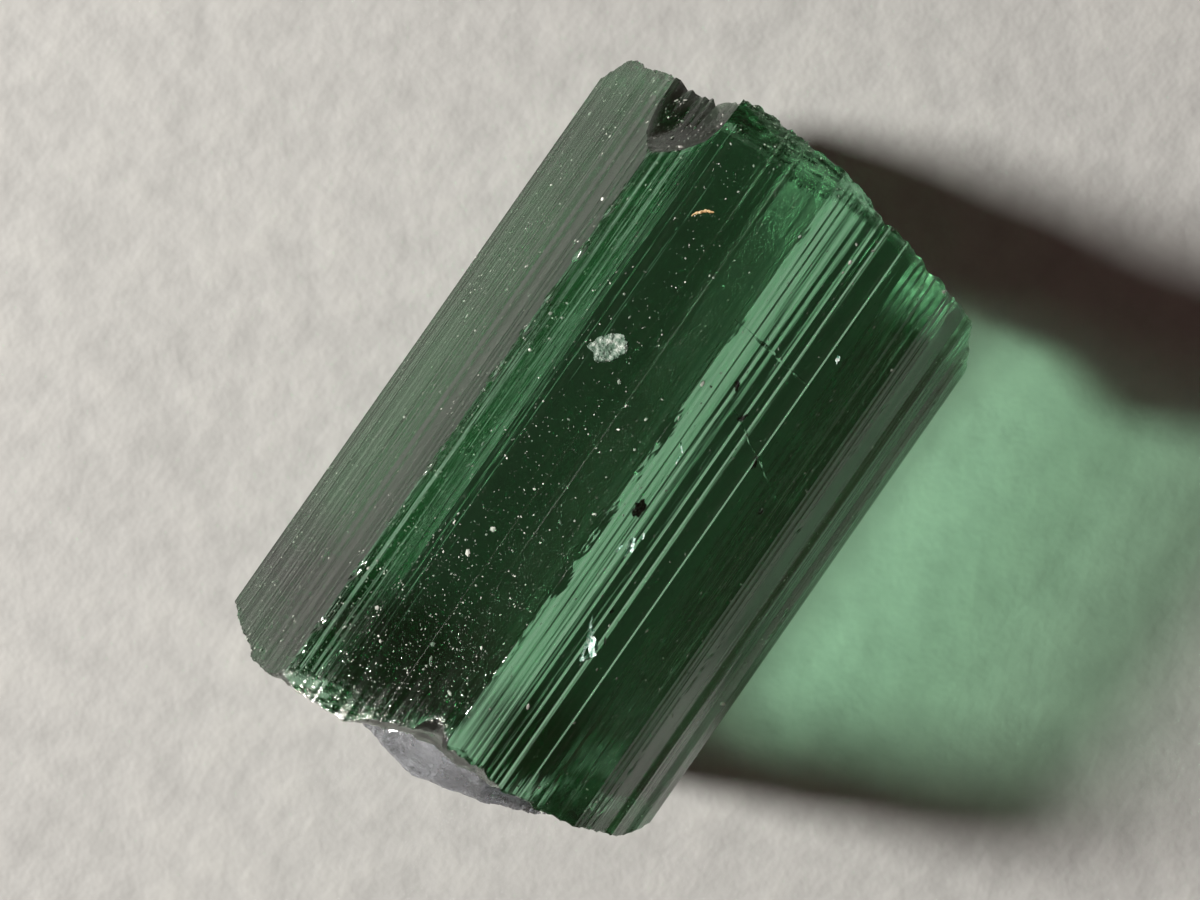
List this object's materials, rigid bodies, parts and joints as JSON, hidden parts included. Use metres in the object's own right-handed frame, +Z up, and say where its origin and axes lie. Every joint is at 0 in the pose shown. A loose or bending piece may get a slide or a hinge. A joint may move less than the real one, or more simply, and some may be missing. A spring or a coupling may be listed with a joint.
{
  "type": "tourmaline crystal",
  "caption": "Short striated prism of clear green tourmaline with broken ends, lying on one long prism face.",
  "frame": {"origin": "on the ground under the middle of the crystal's box", "axes": "+X along the prism towards its top end, +Z up from the resting face, +Y towards the low flank"},
  "size_m": [0.016, 0.0102, 0.0094],
  "materials": {
    "green_tourmaline": "clear green crystal with fine lengthwise striations and frosted broken ends"
  },
  "bodies": {
    "root": {"tourmaline_crystal": "green_tourmaline"}
  },
  "joints": []
}
